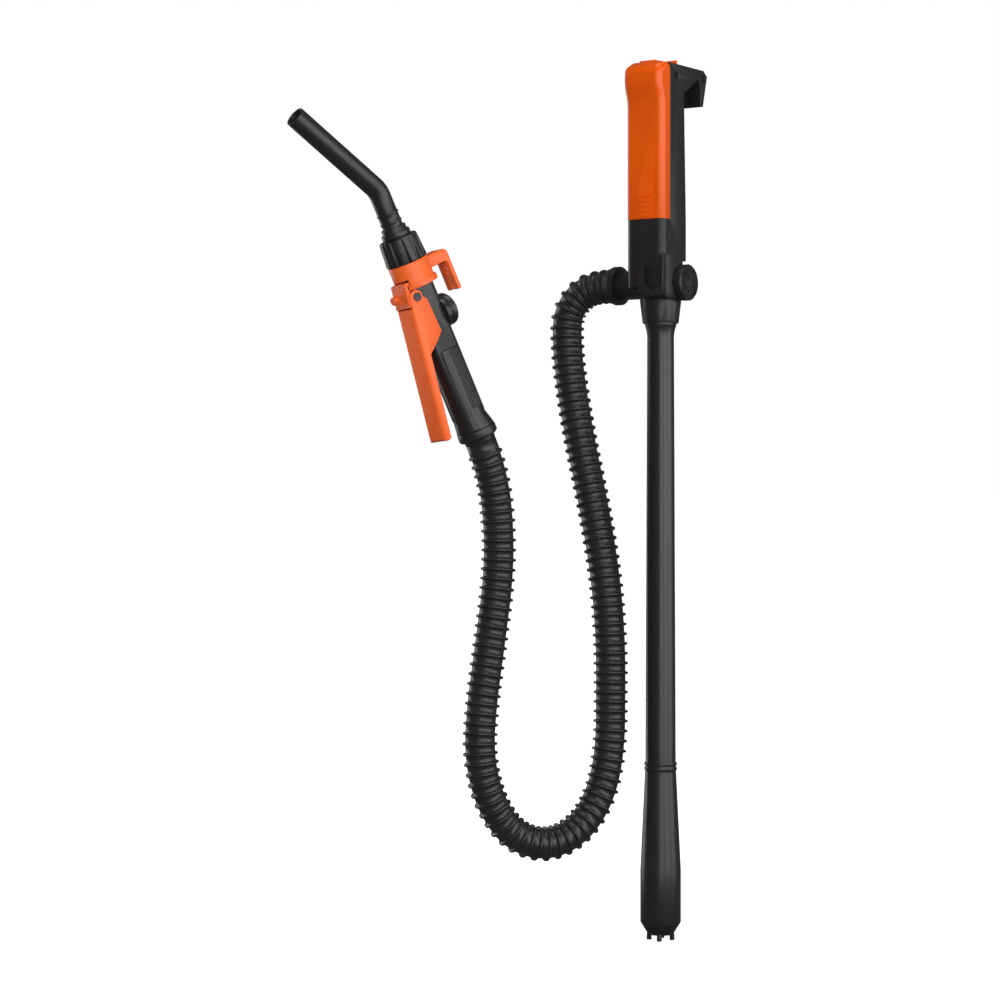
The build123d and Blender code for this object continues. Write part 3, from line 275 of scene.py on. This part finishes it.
def moulding(node, width, skin, segments=2, angle=32):
    """Give a node joined faces, rounded edges of a width in mm, and its finish."""
    source = frame["nodes"][node]
    piece = source.copy()
    piece.data = source.data.copy()
    piece.name = node + "_moulding"
    for key in list(piece.keys()):
        del piece[key]
    piece.parent = None
    bpy.context.scene.collection.objects.link(piece)
    bpy.context.view_layer.objects.active = piece
    piece.select_set(True)
    bpy.ops.object.mode_set(mode="EDIT")
    bpy.ops.mesh.select_all(action="SELECT")
    bpy.ops.mesh.remove_doubles(threshold=0.00001)
    bpy.ops.mesh.dissolve_limited(angle_limit=math.radians(0.6))
    bpy.ops.object.mode_set(mode="OBJECT")
    bevel = piece.modifiers.new("edges", "BEVEL")
    bevel.limit_method = "ANGLE"
    bevel.angle_limit = math.radians(angle)
    bevel.width = width * MM
    bevel.segments = segments
    bevel.miter_outer = "MITER_ARC"
    bpy.ops.object.modifier_apply(modifier="edges")
    bpy.ops.object.shade_smooth_by_angle(angle=math.radians(angle))
    piece.select_set(False)
    piece.data.materials.clear()
    piece.data.materials.append(skin.material)
    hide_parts(node)
    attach(piece, source["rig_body"])
    return piece


def coat(node, skin):
    """Give a node that keeps its shape its finish."""
    frame["nodes"][node].data.materials[0] = skin.material


NYLON = (0.0125, 0.013, 0.014)
black_nylon = moulded("black_nylon", NYLON, 0.36)
tube_nylon = moulded("tube_nylon", NYLON, 0.3, grain=0.6, relief=0.012)
moulding("tank_collar", 0.5, black_nylon)
coat("suction_tube", tube_nylon)

wire_sleeve = moulded("wire_sleeve", (0.42, 0.03, 0.02), 0.4, grain=0.8, relief=0.004)
coat("wiring", wire_sleeve)

# ---------------------------------------------------------------------------
# Pump barrel and inlet foot: the same black nylon, a little glossier.  The foot's
# sloping face is a fine moulded strainer; a steel mesh disc lies inside it.
# ---------------------------------------------------------------------------
barrel_nylon = moulded("barrel_nylon", (0.0135, 0.0138, 0.0145), 0.32, grain=0.5)
moulding("pump_barrel", 0.5, barrel_nylon)

FOOT_TOP = -598.0
foot_nylon = Finish("foot_nylon", (0.0135, 0.0138, 0.0145), 0.4)
foot_drop = foot_nylon.distance_along((0, 0, -1), -FOOT_TOP)
foot_turn = foot_nylon.node(
    "ShaderNodeMath", {"operation": "ARCTAN2"},
    foot_nylon.distance_along((0, 1, 0)), foot_nylon.distance_along((1, 0, 0)),
)
slits = (foot_turn * 60.0).maths("SINE") * ((foot_drop - 1.5) > 0) * ((foot_drop - 10.5) < 0)
FOOT_FACE = (0.015, 0.0153, 0.016, 1)
# painted shade: the strainer's slits get a darker colour than the face, for the shade that falls inside
# them
FOOT_SLIT_SHADE = (0.005, 0.005, 0.0055, 1)
foot_nylon.feed("Base Color", foot_nylon.blend(slits > 0.2, FOOT_FACE, FOOT_SLIT_SHADE))
foot_nylon.bump(slits, 0.5, 0.8)
moulding("inlet_foot", 0.5, foot_nylon)


def metal(name, colour, roughness, streak=(1, 1, 1), relief=0.004, dulled=0.9):
    """Bare or plated metal with fine drawing marks and patches of handling haze."""
    skin = Finish(name, colour, roughness, metallic=1.0)
    marks = skin.noise(0.5, 3, streak)
    haze = skin.noise(9, 3)
    skin.feed("Base Color", skin.blend(haze, shade(colour, dulled), shade(colour, 1.06)))
    skin.feed("Roughness", roughness - 0.06 + 0.08 * marks + 0.08 * haze)
    skin.bump(marks, relief, 0.4)
    return skin


woven_steel = metal("woven_steel", (0.56, 0.56, 0.57), 0.35)
coat("inlet_screen", woven_steel)

# ---------------------------------------------------------------------------
# Motor unit: a zinc-plated can in a sealed nylon capsule, a ground steel shaft,
# a nitrile lip seal and a white acetal impeller.
# ---------------------------------------------------------------------------
zinc_plate = metal("zinc_plate", (0.6, 0.61, 0.63), 0.38, (1, 1, 0.1), 0.006, 0.82)
ground_steel = metal("ground_steel", (0.62, 0.62, 0.63), 0.22, (1, 1, 8))
nitrile = moulded("nitrile", (0.012, 0.012, 0.0125), 0.62, grain=0.3, relief=0.03, level=0.35)
acetal = moulded("acetal", (0.74, 0.73, 0.69), 0.42, grain=0.7, relief=0.006)
coat("motor_capsule", black_nylon)
coat("motor", zinc_plate)
coat("motor_shaft", ground_steel)
coat("shaft_seal", nitrile)
coat("impeller", acetal)

# ---------------------------------------------------------------------------
# Head: two black nylon halves, screwed together from the knob's side, with the
# outlet manifold clamped inside and the spout's cradle on the front.
# ---------------------------------------------------------------------------
SEAM_EDGE = 0.45
for half in ("housing_right", "housing_left"):
    moulding(half, SEAM_EDGE, black_nylon)
moulding("outlet_manifold", 0.5, black_nylon)
moulding("nozzle_cradle", 0.9, black_nylon)

black_oxide = metal("black_oxide", (0.045, 0.045, 0.048), 0.34, (6, 1, 1))
moulding("housing_screws", 0.15, black_oxide)

# ---------------------------------------------------------------------------
# Power knob: black nylon with fine radial ridges on its face.  Behind it are an
# acetal shaft, the rotary switch and a small control board.
# ---------------------------------------------------------------------------
KNOB_FACE = 33.5
KNOB_HEIGHT = 39.6
RIDGES = 48
RIDGE_TO = 16.2
RIDGE_STARTS = (3.5, RIDGE_TO * 0.6, RIDGE_TO * 0.33, RIDGE_TO * 0.6)   # repeated round the face
RIDGE_WIDTH = 0.75
RIDGE_RISE = 0.55

moulding("power_knob", 0.4, black_nylon)
ridges = []
for number in range(RIDGES):
    turn = math.tau * (number + 0.5) / RIDGES
    inner = RIDGE_STARTS[number % len(RIDGE_STARTS)]
    middle = (inner + RIDGE_TO) / 2
    bpy.ops.mesh.primitive_cube_add(
        size=1,
        location=(
            KNOB_FACE * MM,
            middle * math.cos(turn) * MM,
            (KNOB_HEIGHT + middle * math.sin(turn)) * MM,
        ),
        rotation=(turn, 0, 0),
    )
    ridge = bpy.context.object
    ridge.scale = (2 * RIDGE_RISE * MM, (RIDGE_TO - inner) * MM, RIDGE_WIDTH * MM)
    ridges.append(ridge)
bpy.ops.object.select_all(action="DESELECT")
for ridge in ridges:
    ridge.select_set(True)
bpy.context.view_layer.objects.active = ridges[0]
bpy.ops.object.join()
bpy.ops.object.transform_apply(location=True, rotation=True, scale=True)
knob_ridges = bpy.context.object
knob_ridges.name = "knob_ridges"
ridge_edges = knob_ridges.modifiers.new("edges", "BEVEL")
ridge_edges.width = 0.2 * MM
ridge_edges.segments = 2
bpy.ops.object.modifier_apply(modifier="edges")
bpy.ops.object.shade_smooth_by_angle(angle=math.radians(32))
knob_ridges.select_set(False)
knob_ridges.data.materials.append(black_nylon.material)
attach(knob_ridges, "knob")

coat("knob_shaft", acetal)
coat("rotary_switch", acetal)

solder_mask = Finish("solder_mask", (0.02, 0.15, 0.06), 0.3, coat=0.4)
tracks = solder_mask.noise(3.0, 0, (3, 1, 0.4)) > 0.52
solder_mask.feed("Base Color", solder_mask.blend(tracks, (0.015, 0.12, 0.05, 1), (0.03, 0.2, 0.08, 1)))
solder_mask.bump(tracks, 0.04, 0.5)
coat("control_board", solder_mask)

# ---------------------------------------------------------------------------
# Battery bay: two zinc cells in printed foil sleeves between nickel-plated spring
# contacts.  The sleeve is dark below and copper coloured at its upper third.
# ---------------------------------------------------------------------------
nickel = metal("nickel_plate", (0.72, 0.7, 0.66), 0.2)
CELL_STEP = 61.2
CELL_BASE = 111.0
foil = Finish("cell_foil", (0.03, 0.032, 0.04), 0.3, coat=0.6)
cell_rise = (foil.distance_along((0, 0, 1), CELL_BASE) * (1 / CELL_STEP)).maths("FRACT")
copper_band = cell_rise > 0.7
scuffs = foil.noise(1.6, 4)
foil.feed("Base Color", foil.blend(copper_band, (0.03, 0.032, 0.04, 1), (0.62, 0.3, 0.12, 1)))
foil.feed("Metallic", 0.85 * copper_band)
foil.feed("Roughness", 0.24 + 0.14 * scuffs)
foil.bump(scuffs, 0.01, 0.4)
coat("battery_cells", foil)
for contact in ("contact_spring", "lower_contact", "upper_contact"):
    coat(contact, nickel)

# ---------------------------------------------------------------------------
# Battery cover: satin orange polypropylene that slides up off the head, with a
# thumb tab behind and grip lines near its lower edge.
# ---------------------------------------------------------------------------
ORANGE = (0.8, 0.098, 0.0005)
orange_cover = moulded("orange_cover", ORANGE, 0.28, grain=0.8, relief=0.006, level=0.4)
moulding("battery_cover", 0.6, orange_cover)

# ---------------------------------------------------------------------------
# Hose: black polyethylene, blow-moulded with separate rings, a short smooth
# cuff at each end.  It hangs free from the outlet round to the nozzle.
# ---------------------------------------------------------------------------
hose_plastic = moulded("hose_plastic", (0.016, 0.0165, 0.0175), 0.36, grain=0.5, relief=0.02)

HOSE_ROUTE = (
    (-58, 0, 39.6),
    (-77, 0, 39.6),
    (-92, -2, 33),
    (-102.5, -4, 21),
    (-107.5, -6, 5.5),
    (-105, -8, -30),
    (-98, -9, -72),
    (-86, -12, -122),
    (-70, -14, -181),
    (-53, -19, -252),
    (-45, -22, -317),
    (-43, -25, -377),
    (-42, -28, -424),
    (-46, -37, -468),
    (-58, -56, -503),
    (-78, -85, -520),
    (-101, -114, -509),
    (-116, -133, -474),
    (-122, -143, -429),
    (-122, -139, -381),
    (-120, -127, -319),
    (-116, -116, -245),
    (-117, -118, -180),
    (-122, -127, -137),
    (-126, -135, -118),
)
RING_PITCH = 9.6 * MM
RING_RADIUS = 17.4 * MM
CORE_RADIUS = 14.7 * MM
PUMP_CUFF = 7 * MM
NOZZLE_CUFF = 15 * MM
HOSE_SIDES = 48

route = bpy.data.curves.new("hose_route", "CURVE")
route.dimensions = "3D"
route.resolution_u = 24
line = route.splines.new("NURBS")
line.points.add(len(HOSE_ROUTE) - 1)
for point, place in zip(line.points, HOSE_ROUTE):
    point.co = (*(Vector(place) * MM), 1.0)
line.order_u = 3
line.use_endpoint_u = True
route_object = bpy.data.objects.new("hose_route", route)
bpy.context.scene.collection.objects.link(route_object)
bpy.context.view_layer.update()
route_mesh = bpy.data.meshes.new_from_object(route_object)
route_points = [vertex.co.copy() for vertex in route_mesh.vertices]
bpy.data.objects.remove(route_object)

travelled = [0.0]
for first, second in zip(route_points, route_points[1:]):
    travelled.append(travelled[-1] + (second - first).length)
hose_run = travelled[-1]


def along_hose(distance):
    """The place and the direction of the hose this far from the outlet."""
    distance = min(max(distance, 0.0), hose_run)
    number = 1
    while travelled[number] < distance and number < len(travelled) - 1:
        number += 1
    start, end = route_points[number - 1], route_points[number]
    share = (distance - travelled[number - 1]) / (travelled[number] - travelled[number - 1])
    before = route_points[max(number - 2, 0)]
    after = route_points[min(number + 1, len(route_points) - 1)]
    heading = (end - before).normalized().lerp((after - start).normalized(), share)
    return start.lerp(end, share), heading.normalized()


# one ring of the hose: how far from its crest, and how far out the wall is there
RING_PROFILE = ((-2.0, 0.0), (-1.45, 0.25), (-1.2, 0.72), (-0.7, 0.97), (0, 1.0),
                (0.7, 0.97), (1.2, 0.72), (1.45, 0.25), (2.0, 0.0))
ring_run = hose_run - PUMP_CUFF - NOZZLE_CUFF
ring_count = round(ring_run / RING_PITCH)
stations = [(0.0, CORE_RADIUS + 0.6 * MM), (PUMP_CUFF - 2.4 * MM, CORE_RADIUS + 0.6 * MM)]
for number in range(ring_count + 1):
    crest = PUMP_CUFF + number * ring_run / ring_count
    for offset, share in RING_PROFILE:
        stations.append((crest + offset * MM, CORE_RADIUS + share * (RING_RADIUS - CORE_RADIUS)))
stations += [(hose_run - NOZZLE_CUFF + 3 * MM, CORE_RADIUS + 0.5 * MM), (hose_run, CORE_RADIUS + 0.5 * MM)]

hose_points = []
hose_faces = []
side_way = Vector((0, 1, 0))
for distance, radius in stations:
    centre, heading = along_hose(distance)
    side_way = (side_way - heading * side_way.dot(heading)).normalized()
    up_way = heading.cross(side_way)
    for number in range(HOSE_SIDES):
        turn = math.tau * number / HOSE_SIDES
        hose_points.append(centre + radius * (side_way * math.cos(turn) + up_way * math.sin(turn)))
for row in range(len(stations) - 1):
    for number in range(HOSE_SIDES):
        near = row * HOSE_SIDES
        step = (number + 1) % HOSE_SIDES
        far = near + HOSE_SIDES
        hose_faces.append((near + number, near + step, far + step, far + number))
hose_faces.append(tuple(reversed(range(HOSE_SIDES))))
last = (len(stations) - 1) * HOSE_SIDES
hose_faces.append(tuple(range(last, last + HOSE_SIDES)))
hose_mesh = bpy.data.meshes.new("ribbed_hose")
hose_mesh.from_pydata(hose_points, [], hose_faces)
for face in hose_mesh.polygons:
    face.use_smooth = True
hose = bpy.data.objects.new("ribbed_hose", hose_mesh)
bpy.context.scene.collection.objects.link(hose)
hose.data.materials.append(hose_plastic.material)
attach(hose, "pump")
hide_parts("hose")

moulding("hose_cuff", 0.7, black_nylon)

# ---------------------------------------------------------------------------
# Nozzle body: black nylon with a swivel ring at the hose, fine ridges along the
# back of the grip, and a round cap over the shut-off diaphragm.
# ---------------------------------------------------------------------------
moulding("nozzle_swivel", 0.5, black_nylon)

GRIP_ORIGIN = Vector((-126, -135, -118))
GRIP_AXIS = Vector((-4, -8, 19)).normalized()
GRIP_FRONT = Vector((-0.261, -0.874, -0.410))
GRIP_FRONT = (GRIP_FRONT - GRIP_AXIS * GRIP_FRONT.dot(GRIP_AXIS)).normalized()
GRIP_SIDE = GRIP_AXIS.cross(GRIP_FRONT)
GRIP_RIDGES = 44

grip_nylon = Finish("grip_nylon", NYLON, 0.36)
along_grip = grip_nylon.distance_along(GRIP_AXIS, GRIP_ORIGIN.dot(GRIP_AXIS))
across_grip = grip_nylon.distance_along(GRIP_FRONT, GRIP_ORIGIN.dot(GRIP_FRONT))
beside_grip = grip_nylon.distance_along(GRIP_SIDE, GRIP_ORIGIN.dot(GRIP_SIDE))
grip_turn = grip_nylon.node("ShaderNodeMath", {"operation": "ARCTAN2"}, beside_grip, across_grip - 1.5)
on_grip = ((along_grip - 35) > 0) * ((along_grip - 97) < 0) * ((across_grip - 6.0) < 0)
grip_grains = grip_nylon.noise(0.35, 2)
grip_dust = grip_nylon.noise(2.4, 4)
grip_flow = grip_nylon.noise(28, 3)
grip_nylon.feed("Base Color", grip_nylon.blend(grip_flow, shade(NYLON, 0.86), shade(NYLON, 1.16)))
grip_nylon.feed("Roughness", 0.31 + 0.06 * grip_dust + 0.08 * on_grip)
grip_ridges = (grip_turn * GRIP_RIDGES).maths("SINE") * on_grip
grip_nylon.bump(grip_ridges + 0.04 * grip_grains + 0.02 * grip_dust, 0.45, 0.6)
moulding("nozzle_body", 0.8, grip_nylon)

moulding("diaphragm_cap", 0.6, black_nylon)
coat("diaphragm", nitrile)

# ---------------------------------------------------------------------------
# Valve: turned brass seat, poppet and plug, a steel spring that closes it and a
# nitrile seal round the stem.
# ---------------------------------------------------------------------------
turned_brass = metal("turned_brass", (0.7, 0.5, 0.2), 0.26, (1, 1, 6), 0.005, 0.85)
for node in ("valve_seat", "valve_poppet", "valve_plug"):
    coat(node, turned_brass)
coat("valve_spring", ground_steel)
coat("stem_seal", nitrile)

# ---------------------------------------------------------------------------
# Trigger lever and latch: glossy orange nylon on black pins.  The lever has five
# short setting marks; the latch's face is knurled for the thumb.
# ---------------------------------------------------------------------------
LEVER_ORANGE = (0.97, 0.145, 0.026)
MARK_FIRST = 45.0
MARK_STEP = 19.65


def hand_piece(name, relief):
    """Orange nylon whose relief is a function of the place along and beside the grip."""
    skin = Finish(name, LEVER_ORANGE, 0.34, level=0.35)
    along = skin.distance_along(GRIP_AXIS, GRIP_ORIGIN.dot(GRIP_AXIS))
    beside = skin.distance_along(GRIP_SIDE, GRIP_ORIGIN.dot(GRIP_SIDE))
    raised, depth = relief(along, beside)
    flow = skin.noise(28, 3)
    skin.feed("Base Color", skin.blend(flow, shade(LEVER_ORANGE, 0.93), shade(LEVER_ORANGE, 1.06)))
    skin.feed("Roughness", 0.3 + 0.1 * skin.noise(2.4, 4))
    skin.bump(raised + 0.02 * skin.noise(0.8, 2), depth, 0.7)
    return skin


def setting_marks(along, beside):
    step = (along - MARK_FIRST + 0.5 * MARK_STEP).maths("MODULO", MARK_STEP) - 0.5 * MARK_STEP
    mark = (step.maths("ABSOLUTE") < 0.7) * (beside > -5.0) * (beside < 3.0)
    return mark * (along > 40.0) * (along < 128.0), 0.6


def knurl(along, beside):
    first = ((along + beside) * 2.1).maths("SINE")
    second = ((along - beside) * 2.1).maths("SINE")
    return first * second, 0.35


lever_orange = hand_piece("lever_orange", setting_marks)
latch_orange = hand_piece("latch_orange", knurl)
moulding("trigger_lever", 0.7, lever_orange)
moulding("latch", 0.9, latch_orange)
coat("lever_pin", black_oxide)
coat("latch_pin", ground_steel)

# ---------------------------------------------------------------------------
# Collar, union nut and spout: the orange collar carries the hanging hook; a
# ribbed black nut clamps the bent spout on its gasket.
# ---------------------------------------------------------------------------
collar_orange = moulded("collar_orange", LEVER_ORANGE, 0.34, grain=0.8, relief=0.008, level=0.35)
moulding("hook_collar", 0.9, collar_orange)
moulding("union_nut", 0.7, black_nylon)
moulding("spout", 0.5, black_nylon)
coat("spout_gasket", nitrile)
